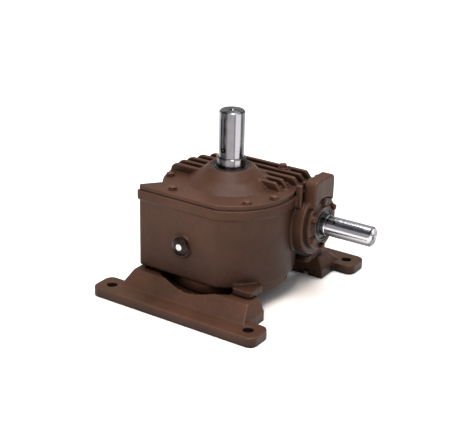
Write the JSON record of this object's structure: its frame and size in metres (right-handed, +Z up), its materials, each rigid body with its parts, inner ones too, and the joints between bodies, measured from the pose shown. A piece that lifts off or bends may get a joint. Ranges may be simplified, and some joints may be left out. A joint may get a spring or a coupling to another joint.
{
  "type": "right-angle gearbox",
  "caption": "Foot-mounted right-angle gearbox: round ribbed casing, vertical output shaft and a horizontal input shaft offset behind it.",
  "frame": {"origin": "centre of the four foot holes, on the plane the foot rails stand on", "axes": "+Z up along the output shaft, +X along the input shaft towards its free end, -Y towards the flat front panel"},
  "size_m": [0.324, 0.308, 0.255],
  "materials": {
    "cast_paint": "semi-gloss brown enamel over cast iron",
    "zinc_fasteners": "painted over with the casing, brown",
    "gasket": "matt fibre gasket",
    "seal_rubber": "satin nitrile rubber",
    "plug_steel": "bright face in a dark hexagon",
    "washer_metal": "dull sealing washer",
    "shaft_steel": "ground and polished",
    "gear_steel": "machined, oiled",
    "bearing_steel": "ground bearing steel",
    "cage_brass": "machined cage"
  },
  "bodies": {
    "housing": {"blind_cap": "cast_paint", "blind_cap_gasket": "gasket", "blind_cap_screws": "zinc_fasteners", "bottom_cover": "cast_paint", "bottom_cover_screws": "zinc_fasteners", "bottom_gasket": "gasket", "breather_plug": "zinc_fasteners", "cover_bolts": "zinc_fasteners", "cover_gasket": "gasket", "drain_plug": "zinc_fasteners", "drain_washer": "washer_metal", "foot_bolts": "zinc_fasteners", "front_foot": "cast_paint", "gear_case": "cast_paint", "input_back_outer_ring": "bearing_steel", "input_cap": "cast_paint", "input_cap_gasket": "gasket", "input_cap_screws": "zinc_fasteners", "input_front_outer_ring": "bearing_steel", "input_seal": "seal_rubber", "oil_level_plug": "plug_steel", "oil_level_washer": "washer_metal", "output_lower_outer_ring": "bearing_steel", "output_seal": "seal_rubber", "output_upper_outer_ring": "bearing_steel", "rear_foot": "cast_paint", "top_cover": "cast_paint"},
    "output": {"crown_wheel": "gear_steel", "lower_spacer": "gear_steel", "output_lower_inner_ring": "bearing_steel", "output_shaft": "shaft_steel", "output_upper_inner_ring": "bearing_steel", "upper_spacer": "gear_steel", "wheel_key": "gear_steel"},
    "input": {"input_back_inner_ring": "bearing_steel", "input_front_inner_ring": "bearing_steel", "input_shaft": "shaft_steel", "input_spacer": "gear_steel", "pinion": "gear_steel", "pinion_key": "gear_steel"},
    "output_lower_cage_set": {"output_lower_balls": "bearing_steel", "output_lower_cage": "cage_brass"},
    "output_upper_cage_set": {"output_upper_balls": "bearing_steel", "output_upper_cage": "cage_brass"},
    "input_front_cage_set": {"input_front_balls": "bearing_steel", "input_front_cage": "cage_brass"},
    "input_back_cage_set": {"input_back_balls": "bearing_steel", "input_back_cage": "cage_brass"}
  },
  "joints": [
    {"name": "output_spin", "type": "hinge", "parent": "housing", "child": "output", "pos_m": [0, -0.012, 0.1], "axis": [0, 0, 1], "continuous": true},
    {"name": "input_spin", "type": "hinge", "parent": "housing", "child": "input", "pos_m": [0, 0.042, 0.102], "axis": [1, 0, 0], "continuous": true},
    {"name": "output_lower_cage_spin", "type": "hinge", "parent": "housing", "child": "output_lower_cage_set", "pos_m": [0, -0.012, 0.0405], "axis": [0, 0, 1], "continuous": true},
    {"name": "output_upper_cage_spin", "type": "hinge", "parent": "housing", "child": "output_upper_cage_set", "pos_m": [0, -0.012, 0.1575], "axis": [0, 0, 1], "continuous": true},
    {"name": "input_front_cage_spin", "type": "hinge", "parent": "housing", "child": "input_front_cage_set", "pos_m": [0.0945, 0.042, 0.102], "axis": [1, 0, 0], "continuous": true},
    {"name": "input_back_cage_spin", "type": "hinge", "parent": "housing", "child": "input_back_cage_set", "pos_m": [-0.0805, 0.042, 0.102], "axis": [1, 0, 0], "continuous": true}
  ],
  "couplings": [
    {"joint": "input_spin", "follows": "output_spin", "ratio": 2},
    {"joint": "output_lower_cage_spin", "follows": "output_spin", "ratio": 0.4248},
    {"joint": "output_upper_cage_spin", "follows": "output_spin", "ratio": 0.4248},
    {"joint": "input_front_cage_spin", "follows": "output_spin", "ratio": 0.8294},
    {"joint": "input_back_cage_spin", "follows": "output_spin", "ratio": 0.7422}
  ]
}
